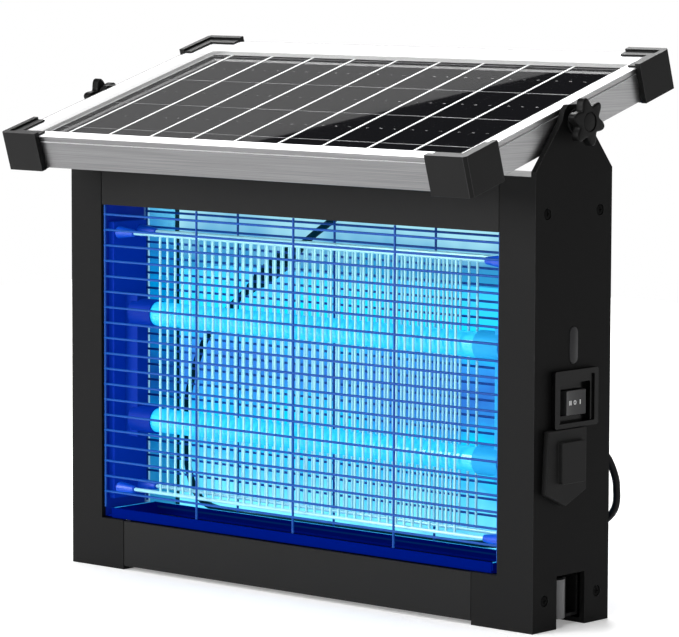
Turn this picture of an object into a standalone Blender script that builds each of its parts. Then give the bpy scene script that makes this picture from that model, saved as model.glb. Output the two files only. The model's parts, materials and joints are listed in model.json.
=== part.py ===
"""Solar insect killer: a grilled lamp box between two side columns, under a tilting solar panel.

Metres, +X to the right, +Y to the back, +Z up. The origin is on the ground under the middle.
"""

import math

import bmesh
import bpy
from mathutils import Vector

# Driving dimensions
WIDTH = 0.400
DEPTH = 0.0755
BODY_TOP = 0.280
SHOULDER = 0.283
EAR_TOP = 0.323
COLUMN = 0.0283
BOX_BACK = 0.006
WINDOW_LOW = 0.040
WINDOW_HIGH = 0.245
PLATE = 0.0038
WALL = 0.0035
SKIN = 0.0025
GAP = 0.0003

FOOT_LENGTH = 0.0486
FOOT_HEIGHT = 0.0333
NOTCH = 0.0140
PIVOT_HEIGHT = 0.3125

PANEL_LENGTH = 0.398
PANEL_DEPTH = 0.2096
PANEL_HEIGHT = 0.026
PANEL_TILT = math.radians(16.7)
CAP_ARM = 0.032
CAP_WALL = 0.0041

TRAY_HALF = 0.0134
TRAY_LOW = 0.0053
TRAY_HIGH = 0.0304

LAMP_HEIGHTS = {"upper": 0.172, "lower": 0.100}
LAMP_LENGTH = 0.288
LAMP_RADIUS = 0.008
CHAMBER_MIDDLE = -0.0155
GRID_SETBACK = 0.0105
ROD_COUNT = 38
ROD_SPAN = 0.256
BAR_REACH = 0.152
BAR_LOW = 0.053
BAR_HIGH = 0.226

GRILLE_PITCH = 0.0104
GRILLE_FIRST = 0.0512
GRILLE_WIRES = 19
GRILLE_BAY = 0.0858

SCREW_SPOTS = [(-0.026, 0.257), (0.026, 0.257), (-0.026, 0.019), (0.026, 0.019)]
SWITCH_AT = (0.0, 0.1398)
LENS_AT = (0.0005, 0.175)
SOCKET_AT = (-0.011, 0.104)
GLAND_AT = (0.184, 0.100)
JUNCTION_AT = (0.098, 0.038)
CABLE_RADIUS = 0.0024
COUPLING_START = Vector((-0.0445, 0.0220, 0.2215))
COUPLING_END = Vector((-0.0906, 0.0220, 0.1897))

HALF_WIDTH = WIDTH / 2
HALF_DEPTH = DEPTH / 2
INNER = HALF_WIDTH - COLUMN
FRAME_X = PANEL_LENGTH / 2 - CAP_WALL - GAP
FRAME_Y = PANEL_DEPTH / 2 - CAP_WALL - GAP
FRAME_LOW = -0.0117
FRAME_HIGH = 0.010

FINISHES = {
    "black_shell": ((0.026, 0.026, 0.027), 0.46, 0.0),
    "black_gloss": ((0.008, 0.008, 0.009), 0.18, 0.0),
    "black_rubber": ((0.033, 0.033, 0.034), 0.62, 0.0),
    "black_steel": ((0.012, 0.012, 0.013), 0.35, 0.8),
    "blue_wire": ((0.10, 0.16, 0.55), 0.35, 0.6),
    "bright_steel": ((0.72, 0.76, 0.80), 0.25, 1.0),
    "white_plastic": ((0.75, 0.77, 0.80), 0.40, 0.0),
    "uv_glass": ((0.30, 0.62, 1.0), 0.10, 0.0),
    "aluminium": ((0.62, 0.62, 0.63), 0.35, 1.0),
    "solar_glass": ((0.85, 0.90, 0.92), 0.04, 0.0),
    "silicon": ((0.012, 0.012, 0.018), 0.30, 0.0),
    "back_white": ((0.82, 0.82, 0.82), 0.50, 0.0),
    "board_green": ((0.02, 0.18, 0.07), 0.45, 0.0),
    "cell_wrap": ((0.05, 0.18, 0.50), 0.35, 0.0),
    "grey_lens": ((0.060, 0.060, 0.062), 0.22, 0.0),
    "grey_rocker": ((0.055, 0.055, 0.058), 0.35, 0.0),
}


def clear_scene():
    for old in list(bpy.data.objects):
        bpy.data.objects.remove(old, do_unlink=True)


def new_collection(name, helper=False):
    made = bpy.data.collections.new(name)
    bpy.context.scene.collection.children.link(made)
    made.hide_render = helper
    return made


def make_finishes():
    made = {}
    for name, (colour, roughness, metallic) in FINISHES.items():
        material = bpy.data.materials.new(name)
        material.use_nodes = True
        shader = material.node_tree.nodes["Principled BSDF"]
        shader.inputs["Base Color"].default_value = (*colour, 1)
        shader.inputs["Roughness"].default_value = roughness
        shader.inputs["Metallic"].default_value = metallic
        material.diffuse_color = (*colour, 1)
        made[name] = material
    return made


clear_scene()
PARTS = new_collection("solar_insect_killer")
HELPERS = new_collection("boolean_helpers", helper=True)
MATERIALS = make_finishes()


# Shapes: each is a list of points and a list of faces


def in_space(axis, along, u, v):
    """The point at that place along an axis, with u and v on the other two axes in X, Y, Z order."""
    point = [u, v]
    point.insert("xyz".index(axis), along)
    return tuple(point)


def prism(axis, outline, low, high):
    """An outline on the two other axes, extruded along one axis."""
    count = len(outline)
    points = [in_space(axis, end, u, v) for end in (low, high) for u, v in outline]
    faces = [tuple(range(count)), tuple(range(count, 2 * count))]
    for i in range(count):
        j = (i + 1) % count
        faces.append((i, j, count + j, count + i))
    return points, faces


def block(low, high):
    (x0, y0, z0), (x1, y1, z1) = low, high
    return prism("z", [(x0, y0), (x1, y0), (x1, y1), (x0, y1)], z0, z1)


def turned(axis, centre, profile, sides=16):
    """A solid of revolution: the profile lists (place along the axis, radius)."""
    points = []
    for along, radius in profile:
        for k in range(sides):
            turn = 2 * math.pi * (k + 0.5) / sides
            u = centre[0] + radius * math.cos(turn)
            v = centre[1] + radius * math.sin(turn)
            points.append(in_space(axis, along, u, v))
    last = (len(profile) - 1) * sides
    faces = [tuple(range(sides)), tuple(range(last, last + sides))]
    for ring in range(len(profile) - 1):
        for k in range(sides):
            a = ring * sides + k
            b = ring * sides + (k + 1) % sides
            faces.append((a, b, b + sides, a + sides))
    return points, faces


def pin(axis, centre, radius, low, high, sides=16):
    return turned(axis, centre, [(low, radius), (high, radius)], sides)


def round_ended(half_width, half_height, centre=(0, 0), steps=6):
    """An upright outline whose two ends are half circles."""
    straight = half_height - half_width
    outline = []
    for start, height in ((0, straight), (math.pi, -straight)):
        for k in range(steps + 1):
            turn = start + math.pi * k / steps
            u = centre[0] + half_width * math.cos(turn)
            v = centre[1] + height + half_width * math.sin(turn)
            outline.append((u, v))
    return outline


def soft_rectangle(half_width, half_height, radius, centre=(0, 0), steps=3):
    """A rectangle with rounded corners."""
    outline = []
    corners = ((1, 1, 0), (-1, 1, 0.5), (-1, -1, 1), (1, -1, 1.5))
    for across, up, start in corners:
        for k in range(steps + 1):
            turn = math.pi * (start + 0.5 * k / steps)
            u = centre[0] + across * (half_width - radius) + radius * math.cos(turn)
            v = centre[1] + up * (half_height - radius) + radius * math.sin(turn)
            outline.append((u, v))
    return outline


def bar_edges(bars, low, high):
    edges = {low, high}
    for start, end in bars:
        edges |= {start, end}
    return sorted(edges)


def inside_bar(bars, place):
    return any(start < place < end for start, end in bars)


def lattice(upright, level, across, height, front, back):
    """A flat grid in X and Z: upright bars over the whole height, level bars over the whole width."""
    xs = bar_edges(upright, *across)
    zs = bar_edges(level, *height)
    filled = set()
    for i in range(len(xs) - 1):
        for k in range(len(zs) - 1):
            in_upright = inside_bar(upright, (xs[i] + xs[i + 1]) / 2)
            in_level = inside_bar(level, (zs[k] + zs[k + 1]) / 2)
            if in_upright or in_level:
                filled.add((i, k))
    points, faces, known = [], [], {}

    def corner(i, k, y):
        if (i, k, y) not in known:
            known[(i, k, y)] = len(points)
            points.append((xs[i], y, zs[k]))
        return known[(i, k, y)]

    for i, k in sorted(filled):
        ring = [(i, k), (i + 1, k), (i + 1, k + 1), (i, k + 1)]
        for y in (front, back):
            faces.append(tuple(corner(a, b, y) for a, b in ring))
        beyond = [(i, k - 1), (i + 1, k), (i, k + 1), (i - 1, k)]
        for side, neighbour in enumerate(beyond):
            if neighbour not in filled:
                a, b = ring[side], ring[(side + 1) % 4]
                edge = [(*a, front), (*b, front), (*b, back), (*a, back)]
                faces.append(tuple(corner(*place) for place in edge))
    return points, faces


def flipped(shape):
    """The same shape on the other side of the middle."""
    points, faces = shape
    return [(-x, y, z) for x, y, z in points], faces


# Objects


def object_of(name, shape, collection):
    points, faces = shape
    mesh = bpy.data.meshes.new(name)
    mesh.from_pydata(points, [], faces)
    work = bmesh.new()
    work.from_mesh(mesh)
    bmesh.ops.recalc_face_normals(work, faces=work.faces)
    work.to_mesh(mesh)
    work.free()
    made = bpy.data.objects.new(name, mesh)
    collection.objects.link(made)
    return made


def combine(target, shape, operation, parent):
    """Adds a shape to the target, or cuts it away."""
    label = f"{target.name}_{operation.lower()}_{len(target.modifiers)}"
    helper = object_of(label, shape, HELPERS)
    helper.hide_render = True
    helper.display_type = "WIRE"
    helper.parent = parent
    step = target.modifiers.new(label, "BOOLEAN")
    step.operation = operation
    step.solver = "EXACT"
    step.object = helper


def part(name, finish, shape, add=(), cut=(), parent=None, side=1):
    if side < 0:
        shape = flipped(shape)
        add = [flipped(extra) for extra in add]
        cut = [flipped(hole) for hole in cut]
    made = object_of(name, shape, PARTS)
    made.data.materials.append(MATERIALS[finish])
    made.parent = parent
    for extra in add:
        combine(made, extra, "UNION", parent)
    for hole in cut:
        combine(made, hole, "DIFFERENCE", parent)
    return made


def joint_empty(name, location, tilt=0, parent=None):
    made = bpy.data.objects.new(name, None)
    made.empty_display_size = 0.02
    made.location = location
    made.rotation_euler.x = tilt
    made.parent = parent
    PARTS.objects.link(made)
    return made


# Housing


def ear_outline():
    """The side plate in Y and Z: a rectangle that tapers to the ear carrying the panel's bolt."""
    half = [(HALF_DEPTH, 0), (HALF_DEPTH, SHOULDER), (0.0130, PIVOT_HEIGHT)]
    half += [(0.0105, 0.3195), (0.0070, EAR_TOP)]
    return half + [(-y, z) for y, z in reversed(half)]


def end_cap(name, side, openings):
    """Side plate with its ear, front and rear flanges that widen into feet, and a closed top."""
    plate_in = HALF_WIDTH - PLATE
    foot = HALF_WIDTH - FOOT_LENGTH
    lap = HALF_WIDTH - 0.0012
    flange = [(foot, 0), (lap, 0), (lap, BODY_TOP), (INNER, BODY_TOP)]
    flange += [(INNER, FOOT_HEIGHT), (foot, FOOT_HEIGHT)]
    bosses = [pin("x", spot, 0.0036, 0.1980, 0.2010) for spot in SCREW_SPOTS]
    bores = [pin("x", spot, 0.0021, 0.1900, 0.2010, 12) for spot in SCREW_SPOTS]
    part(
        name,
        "black_shell",
        prism("x", ear_outline(), plate_in, HALF_WIDTH),
        add=[
            prism("y", flange, -HALF_DEPTH, -HALF_DEPTH + WALL),
            prism("y", flange, HALF_DEPTH - WALL, HALF_DEPTH),
            block((INNER, -0.0360, BODY_TOP - WALL), (lap, 0.0360, BODY_TOP)),
            block((foot, -0.0360, 0), (lap, -NOTCH - GAP, 0.003)),
            block((foot, NOTCH + GAP, 0), (lap, 0.0360, 0.003)),
        ],
        cut=[
            block((0.190, -NOTCH, -0.001), (0.201, NOTCH, 0.0330)),
            pin("x", (0, PIVOT_HEIGHT), 0.0032, 0.190, 0.201),
            *bosses,
            *bores,
            *openings,
        ],
        side=side,
    )


def column_liner(name, side):
    """The inner wall of a side column, with the four posts that its screws bite into."""
    half = [(0.0339, 0.2762), (0.0339, 0.0033)]
    half += [(NOTCH + GAP, 0.0033), (NOTCH + GAP, FOOT_HEIGHT)]
    outline = half + [(-y, z) for y, z in reversed(half)]
    part(
        name,
        "black_shell",
        prism("x", outline, INNER + GAP, INNER + GAP + 0.002),
        add=[pin("x", spot, 0.0042, 0.1730, 0.1959) for spot in SCREW_SPOTS],
        cut=[pin("x", spot, 0.0021, 0.1830, 0.2010, 12) for spot in SCREW_SPOTS],
        side=side,
    )


def cap_screws(side, label):
    profile = [(0.1840, 0.0012), (0.1850, 0.0017), (0.1983, 0.0017)]
    profile += [(0.1983, 0.0032), (0.1993, 0.0032), (0.1997, 0.0026)]
    for index, spot in enumerate(SCREW_SPOTS, start=1):
        part(f"cap_screw_{label}_{index}", "black_steel", turned("x", spot, profile, 12), side=side)


def housing_profiles():
    """The hollow beam over the window with its floor, and the base under it."""
    reach = INNER - GAP
    front, back = -HALF_DEPTH, BOX_BACK
    beam = [(front, WINDOW_HIGH), (front, BODY_TOP), (back, BODY_TOP), (back, WINDOW_HIGH)]
    beam += [(back - SKIN, WINDOW_HIGH), (back - SKIN, BODY_TOP - SKIN)]
    beam += [(front + SKIN, BODY_TOP - SKIN), (front + SKIN, WINDOW_HIGH)]
    part("top_profile", "black_shell", prism("x", beam, -reach, reach))
    deck_front, deck_back = front + SKIN + GAP, back - SKIN - GAP
    part(
        "top_deck",
        "black_shell",
        block((-reach, deck_front, WINDOW_HIGH), (reach, deck_back, WINDOW_HIGH + 0.002)),
    )
    base_reach = HALF_WIDTH - FOOT_LENGTH - GAP
    low, high, rear = 0.0025, 0.0330, HALF_DEPTH
    base = [(front, low), (rear, low), (rear, high)]
    base += [(NOTCH + 0.0020, high), (NOTCH + 0.0020, high - SKIN)]
    base += [(rear - SKIN, high - SKIN), (rear - SKIN, low + SKIN), (front + SKIN, low + SKIN)]
    base += [(front + SKIN, high), (front, high)]
    rails = []
    for side in (-1, 1):
        middle = side * (NOTCH + 0.0008)
        start = (-base_reach + 0.001, middle - 0.0006, low + 0.001)
        rails.append(block(start, (base_reach - 0.001, middle + 0.0006, 0.012)))
    part("bottom_profile", "black_shell", prism("x", base, -base_reach, base_reach), add=rails)


def insect_chute():
    """Two sloping walls between end plates: what falls off the grids slides into the tray."""
    reach = 0.1650
    front_wall = [(-0.0349, 0.0336), (-0.0349, 0.0402), (-0.0335, 0.0402)]
    front_wall += [(-0.0120, 0.0325), (-0.0120, 0.0309), (-0.0140, 0.0309)]
    rear_wall = [(0.0120, 0.0309), (0.0120, 0.0325), (0.0049, 0.0402)]
    rear_wall += [(0.0063, 0.0402), (0.0142, 0.0336), (0.0142, 0.0309)]
    end_plate = [(-0.0345, 0.0350), (-0.0345, 0.0400), (0.0058, 0.0400)]
    end_plate += [(0.0135, 0.0325), (0.0135, 0.0312), (-0.0125, 0.0312)]
    part(
        "insect_chute",
        "white_plastic",
        prism("x", front_wall, -reach, reach),
        add=[
            prism("x", rear_wall, -reach, reach),
            prism("x", end_plate, -reach - 0.0010, -reach + 0.0010),
            prism("x", end_plate, reach - 0.0010, reach + 0.0010),
        ],
    )


def catch_tray():
    """A long drawer that pulls out through the right end cap, with a rounded grip and a finger slot."""
    left, right, skin = -0.1650, 0.1950, 0.0014
    block_start = 0.1810
    origin = joint_empty("tray_slide", (right, 0, TRAY_LOW))
    rise = TRAY_HIGH - TRAY_LOW
    grip = [(-0.0030, -0.0131)]
    for k in range(11):
        turn = math.pi * k / 10
        grip.append((0.0045 * math.sin(turn), -0.0075 - 0.0056 * math.cos(turn)))
    grip.append((-0.0030, -0.0019))
    hollow_low = (left - right + skin, skin - TRAY_HALF, skin)
    hollow_high = (block_start - right, TRAY_HALF - skin, rise + 0.001)
    part(
        "catch_tray",
        "black_shell",
        block((left - right, -TRAY_HALF, 0), (0, TRAY_HALF, rise)),
        add=[prism("z", grip, 0.0003, rise - 0.0003)],
        cut=[
            block(hollow_low, hollow_high),
            block((-0.0110, 0.0015, 0.0020), (0.0050, 0.0118, rise + 0.001)),
        ],
        parent=origin,
    )


# Grilles, high-voltage grids and lamps


def wire_grille(name, middle):
    half = 0.0008
    places = [k * GRILLE_BAY for k in (-1, 0, 1)] + [s * 0.1704 for s in (-1, 1)]
    upright = sorted((x - half, x + half) for x in places)
    heights = [GRILLE_FIRST + k * GRILLE_PITCH for k in range(GRILLE_WIRES)]
    level = [(z - half, z + half) for z in heights]
    shape = lattice(
        upright,
        level,
        (upright[0][0], upright[-1][1]),
        (WINDOW_LOW + 0.0006, WINDOW_HIGH - GAP),
        middle - half,
        middle + half,
    )
    part(name, "blue_wire", shape)


def hv_grid(name, middle):
    half = 0.0009
    pitch = ROD_SPAN / (ROD_COUNT - 1)
    upright = []
    for k in range(ROD_COUNT):
        x = -ROD_SPAN / 2 + k * pitch
        upright.append((x - half, x + half))
    level = [(z - 0.0013, z + 0.0013) for z in (BAR_LOW, BAR_HIGH)]
    height = (level[0][0], level[1][1])
    across = (-BAR_REACH, BAR_REACH)
    shape = lattice(upright, level, across, height, middle - half, middle + half)
    part(name, "bright_steel", shape)


def side_insulator(name, side):
    """A plastic strip on the chamber wall with a cone under each bar end, and seats for the lamps."""
    cones = []
    for offset in (-GRID_SETBACK, GRID_SETBACK):
        for height in (BAR_LOW, BAR_HIGH):
            profile = [(0.1680, 0.0042), (0.1655, 0.0042), (BAR_REACH + GAP, 0.0024)]
            cones.append(turned("x", (CHAMBER_MIDDLE + offset, height), profile[::-1], 12))
    strip = block((0.1665, -0.0310, 0.0460), (INNER - 0.0002, 0.0, 0.2330))
    part(name, "white_plastic", strip, add=cones, side=side)


def lamp_holder(name, side):
    """A bridge across the strip with a socket round the end of each lamp."""
    spine = block((0.1550, -0.0205, 0.0880), (0.1662, -0.0105, 0.1840))
    sockets, seats = [], []
    seat_end = LAMP_LENGTH / 2 + GAP
    for height in LAMP_HEIGHTS.values():
        middle = (CHAMBER_MIDDLE, height)
        sockets.append(pin("x", middle, 0.0094, 0.1400, 0.1600, 20))
        seats.append(pin("x", middle, LAMP_RADIUS + GAP, 0.1390, seat_end, 20))
    part(name, "white_plastic", spine, add=sockets, cut=seats, side=side)


def uv_tube(name, height):
    half = LAMP_LENGTH / 2
    profile = [(-half, 0.0066), (-half + 0.002, LAMP_RADIUS)]
    profile += [(half - 0.002, LAMP_RADIUS), (half, 0.0066)]
    part(name, "uv_glass", turned("x", (CHAMBER_MIDDLE, height), profile, 20))


def electronics():
    """Cells and boards in the beam over the window, and the high-voltage module in the right column."""
    low = WINDOW_HIGH + 0.002 + GAP
    cell = [pin("x", (y, low + 0.0094), 0.0092, -0.1650, -0.0350, 16) for y in (-0.0252, -0.0068)]
    shelf = block((-0.1645, -0.0252, low), (-0.0355, -0.0068, low + 0.0160))
    part("battery_pack", "cell_wrap", shelf, add=cell)
    part(
        "charge_board",
        "board_green",
        block((-0.0250, -0.0320, low + 0.003), (0.0550, 0.0000, low + 0.0046)),
        add=[
            block((-0.0100, -0.0250, low), (0.0400, -0.0070, low + 0.0040)),
            block((-0.0150, -0.0260, low + 0.0040), (0.0050, -0.0140, low + 0.0140)),
            pin("z", (0.0250, -0.0160), 0.0060, low + 0.0040, low + 0.0190, 12),
            pin("z", (0.0420, -0.0160), 0.0060, low + 0.0040, low + 0.0190, 12),
        ],
    )
    part(
        "lamp_driver_board",
        "board_green",
        block((0.0700, -0.0320, low + 0.003), (0.1600, 0.0000, low + 0.0046)),
        add=[
            block((0.0800, -0.0260, low), (0.1500, -0.0060, low + 0.0040)),
            block((0.0850, -0.0270, low + 0.0040), (0.1050, -0.0060, low + 0.0200)),
            block((0.1250, -0.0270, low + 0.0040), (0.1450, -0.0060, low + 0.0200)),
        ],
    )
    part("hv_module", "black_gloss", block((0.1750, -0.0180, 0.1980), (0.1920, 0.0180, 0.2420)))


# Controls on the right column


def side_openings():
    """What the right end cap is cut for: the switch, the lens and the charging socket."""
    return [
        prism("x", soft_rectangle(0.0160, 0.0135, 0.001, SWITCH_AT), 0.190, 0.201),
        prism("x", round_ended(0.0043, 0.0118, LENS_AT), 0.190, 0.201),
        prism("x", soft_rectangle(0.0085, 0.0060, 0.001, SOCKET_AT), 0.190, 0.201),
    ]


def power_switch():
    """Three-position rocker in a stepped bezel, with its contact block inside the column."""
    y, z = SWITCH_AT
    face = HALF_WIDTH + GAP
    bezel_at = (y, 0.1425)
    part(
        "switch_bezel",
        "black_gloss",
        prism("x", soft_rectangle(0.0215, 0.0178, 0.0015, bezel_at), face, 0.2035),
        add=[prism("x", soft_rectangle(0.0157, 0.0132, 0.001, SWITCH_AT), 0.1890, 0.2010)],
        cut=[
            prism("x", soft_rectangle(0.0176, 0.0146, 0.001, (y, 0.1423)), 0.2022, 0.2050),
            prism("x", soft_rectangle(0.0148, 0.0124, 0.001, SWITCH_AT), 0.1985, 0.2030),
            prism("x", soft_rectangle(0.0103, 0.0081, 0.0005, SWITCH_AT, 1), 0.1880, 0.2000),
        ],
    )
    contacts = []
    for start in (-0.0070, -0.0010, 0.0050):
        low, high = (0.1745, y + start, z - 0.0030), (0.1765, y + start + 0.0020, z + 0.0030)
        contacts.append(block(low, high))
    part(
        "switch_block",
        "black_shell",
        block((0.1760, y - 0.0100, z - 0.0078), (0.1840, y + 0.0100, z + 0.0078)),
        add=contacts,
    )
    pivot = joint_empty("rocker_pivot", (0.1930, y, z))
    crown = [(-0.0055, -0.0060), (0.0100, -0.0097), (0.0091, -0.0060), (0.0088, 0)]
    crown += [(0.0091, 0.0060), (0.0100, 0.0097), (-0.0055, 0.0060)]
    part("switch_rocker", "grey_rocker", prism("z", crown, -0.0077, 0.0077), parent=pivot)


def status_lens():
    part(
        "status_lens",
        "grey_lens",
        prism("x", round_ended(0.0040, 0.0115, LENS_AT), 0.1950, 0.2004),
        add=[prism("x", round_ended(0.0054, 0.0129, LENS_AT), 0.1942, 0.1958)],
    )


def charge_port():
    """A slotted socket behind a rubber cover that flips up on its top edge."""
    y, z = SOCKET_AT
    part(
        "charge_socket",
        "black_gloss",
        block((0.1800, y - 0.0082, z - 0.0057), (0.1995, y + 0.0082, z + 0.0057)),
        cut=[prism("x", soft_rectangle(0.0047, 0.0016, 0.0014, SOCKET_AT), 0.1930, 0.2010)],
    )
    hinge_x, hinge_z = 0.2048, 0.1243
    hinge = joint_empty("port_cover_hinge", (hinge_x, 0, hinge_z))
    back = HALF_WIDTH + GAP - hinge_x
    outline = [(-0.0285, 0), (0.0085, 0), (0.0085, 0.0855 - hinge_z)]
    outline += [(-0.0118, 0.0768 - hinge_z), (-0.0310, 0.0855 - hinge_z)]
    raised = soft_rectangle(0.0118, 0.0130, 0.001, (-0.0078, 0.1040 - hinge_z), 1)
    part(
        "port_cover",
        "black_rubber",
        prism("x", outline, back, 0),
        add=[prism("x", raised, -0.0010, 0.0030)],
        parent=hinge,
    )


# Solar panel, built flat about its pivot


def frame_rail(name, along_x, sign, pivot, bolt_hole=False):
    """One mitred side of the aluminium frame: top flange, glass shelf, bottom flange, grooved outside."""
    section = [(0, FRAME_LOW), (0.012, FRAME_LOW)]
    section += [(0.012, FRAME_LOW + 0.0015), (0.0016, FRAME_LOW + 0.0015)]
    section += [(0.0016, 0.0012), (0.008, 0.0012), (0.008, 0.0026), (0.0016, 0.0026), (0.0016, 0.0084)]
    section += [(0.010, 0.0084), (0.010, FRAME_HIGH), (0, FRAME_HIGH)]
    section += [(0, 0.0068), (0.0008, 0.0068), (0.0008, 0.0060), (0, 0.0060)]
    mitre = GAP / math.sqrt(2)
    points = []
    for end in (-1, 1):
        for inset, height in section:
            if along_x:
                points.append((end * (FRAME_X - inset - mitre), sign * (FRAME_Y - inset), height))
            else:
                points.append((sign * (FRAME_X - inset), end * (FRAME_Y - inset - mitre), height))
    faces = prism("x", section, 0, 1)[1]
    holes = [pin("x", (0, 0), 0.0032, 0.185, 0.200)] if bolt_hole else []
    if sign < 0:
        holes = [flipped(hole) for hole in holes]
    part(name, "aluminium", (points, faces), cut=holes, parent=pivot)


def panel_layers(pivot):
    inner_x, inner_y = FRAME_X - 0.0019, FRAME_Y - 0.0019
    layers = [
        ("panel_glass", "solar_glass", inner_x, inner_y, 0.0049, 0.0081),
        ("cell_sheet", "silicon", 0.1830, 0.0885, 0.0040, 0.0046),
        ("back_sheet", "back_white", inner_x, inner_y, 0.0029, 0.0037),
    ]
    for name, finish, half_x, half_y, low, high in layers:
        part(name, finish, block((-half_x, -half_y, low), (half_x, half_y, high)), parent=pivot)


def corner_cap(name, across, back, pivot):
    """A plastic corner that wraps the frame, standing a little above and below it."""
    outer_x, outer_y, half = PANEL_LENGTH / 2, PANEL_DEPTH / 2, PANEL_HEIGHT / 2
    wall_x, wall_y = FRAME_X + GAP, FRAME_Y + GAP
    chamfer = 0.002
    arm_x, arm_y = outer_x - CAP_ARM, outer_y - CAP_ARM
    wall = [(arm_x, outer_y), (outer_x - chamfer, outer_y), (outer_x, outer_y - chamfer)]
    wall += [(outer_x, arm_y), (wall_x, arm_y), (wall_x, wall_y), (arm_x, wall_y)]

    def lip(width):
        edge = 0.0015
        far_x, far_y = outer_x - edge, outer_y - edge
        near_x, near_y = outer_x - width, outer_y - width
        start_x, start_y = arm_x + 0.0005, arm_y + 0.0005
        outline = [(start_x, far_y), (far_x - chamfer, far_y), (far_x, far_y - chamfer)]
        return outline + [(far_x, start_y), (near_x, start_y), (near_x, near_y), (start_x, near_y)]

    def placed(shape):
        points, faces = shape
        return [(across * x, back * y, z) for x, y, z in points], faces

    part(
        name,
        "black_shell",
        placed(prism("z", wall, -half, half)),
        add=[
            placed(prism("z", lip(0.0105), FRAME_HIGH + GAP, FRAME_HIGH + 0.0015)),
            placed(prism("z", lip(0.0125), -half + 0.0002, FRAME_LOW - GAP)),
        ],
        parent=pivot,
    )


def junction_box(pivot):
    """The box that the cells' leads end in, under the panel, with its lid and the cable's gland."""
    x, y = JUNCTION_AT
    part(
        "junction_box",
        "black_shell",
        block((x - 0.030, y - 0.022, -0.0150), (x + 0.030, y + 0.022, 0.0026)),
        cut=[block((x - 0.028, y - 0.020, -0.0160), (x + 0.028, y + 0.020, 0.0006))],
        parent=pivot,
    )
    part(
        "junction_lid",
        "black_shell",
        block((x - 0.030, y - 0.022, -0.0173), (x + 0.030, y + 0.022, -0.0153)),
        add=[block((x - 0.0276, y - 0.0196, -0.0158), (x + 0.0276, y + 0.0196, -0.0138))],
        parent=pivot,
    )
    profile = [(x - 0.0400, 0.0036), (x - 0.0380, 0.0046), (x - 0.0340, 0.0050)]
    profile += [(x - 0.0340, 0.0058), (x - 0.0303, 0.0058)]
    part("panel_gland", "black_rubber", turned("x", (y, -0.0075), profile, 12), parent=pivot)


def pivot_bolt(name, side, pivot):
    """A stud pressed into the side rail, with a flange that runs against the inside of the ear."""
    flange_in, flange_out = FRAME_X + GAP, HALF_WIDTH - PLATE - GAP
    profile = [(FRAME_X - 0.0014, 0.0029), (flange_in, 0.0029), (flange_in, 0.0085), (flange_out, 0.0085)]
    profile += [(flange_out, 0.0029), (0.2065, 0.0029), (0.2070, 0.0024)]
    part(name, "black_steel", turned("x", (0, 0), profile, 16), side=side, parent=pivot)


def friction_washer(name, side, pivot):
    ring = pin("x", (0, 0), 0.0078, HALF_WIDTH + GAP, HALF_WIDTH + 0.0013, 20)
    bore = pin("x", (0, 0), 0.0032, 0.199, 0.203)
    part(name, "black_rubber", ring, cut=[bore], side=side, parent=pivot)


def star_knob(name, side, pivot):
    """Six round lobes on a hub that bears on the ear, threaded onto the bolt."""
    origin = joint_empty(f"{name}_axis", (side * HALF_WIDTH, 0, 0), parent=pivot)
    lobes = []
    for k in range(48):
        turn = 2 * math.pi * k / 48
        radius = 0.0126 + 0.0027 * math.cos(6 * turn)
        lobes.append((radius * math.sin(turn), radius * math.cos(turn)))
    part(
        name,
        "black_shell",
        turned("x", (0, 0), [(0.0016, 0.0070), (0.0040, 0.0060), (0.0075, 0.0060)], 18),
        add=[prism("x", lobes, 0.0055, 0.0118)],
        cut=[pin("x", (0, 0), 0.0032, 0, 0.0085)],
        side=side,
        parent=origin,
    )


# Cable


def smooth_route(knots, steps):
    """Points on the smooth curve through the knots (Catmull-Rom)."""
    knots = [Vector(k) for k in knots]
    padded = [2 * knots[0] - knots[1], *knots, 2 * knots[-1] - knots[-2]]
    route = []
    for a, b, c, d in zip(padded, padded[1:], padded[2:], padded[3:]):
        for k in range(steps):
            t = k / steps
            linear = (c - a) * t
            square = (2 * a - 5 * b + 4 * c - d) * t**2
            cube = (3 * b - a - 3 * c + d) * t**3
            route.append((2 * b + linear + square + cube) / 2)
    return route + [knots[-1]]


def cable(name, knots):
    route = smooth_route(knots, 4)
    curve = bpy.data.curves.new(name, "CURVE")
    curve.dimensions = "3D"
    curve.bevel_depth = CABLE_RADIUS
    curve.bevel_resolution = 2
    curve.use_fill_caps = True
    spline = curve.splines.new("POLY")
    spline.points.add(len(route) - 1)
    for point, place in zip(spline.points, route):
        point.co = (*place, 1)
    curve.materials.append(MATERIALS["black_rubber"])
    made = bpy.data.objects.new(name, curve)
    PARTS.objects.link(made)


def lead_coupling():
    """The waterproof plug and socket in the lead, with a ring nut in the middle and tapered ends."""
    along = COUPLING_END - COUPLING_START
    turn = along.to_track_quat("Z", "Y")
    half = [(0, 0.0036), (0.0070, 0.0042), (0.0110, 0.0060), (0.0210, 0.0060), (0.0210, 0.0067)]
    profile = half + [(along.length - place, radius) for place, radius in reversed(half)]

    def placed(shape):
        points, faces = shape
        return [tuple(COUPLING_START + turn @ Vector(point)) for point in points], faces

    bore = pin("z", (0, 0), CABLE_RADIUS + GAP, -0.001, along.length + 0.001)
    part("lead_coupling", "black_rubber", placed(turned("z", (0, 0), profile)), cut=[placed(bore)])


def body_gland():
    x, z = GLAND_AT
    face = HALF_DEPTH + GAP
    profile = [(face, 0.0066), (face + 0.0040, 0.0066), (face + 0.0040, 0.0054)]
    profile += [(face + 0.0070, 0.0050), (face + 0.0085, 0.0036)]
    part("body_gland", "black_rubber", turned("y", (x, z), profile, 12))


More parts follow.
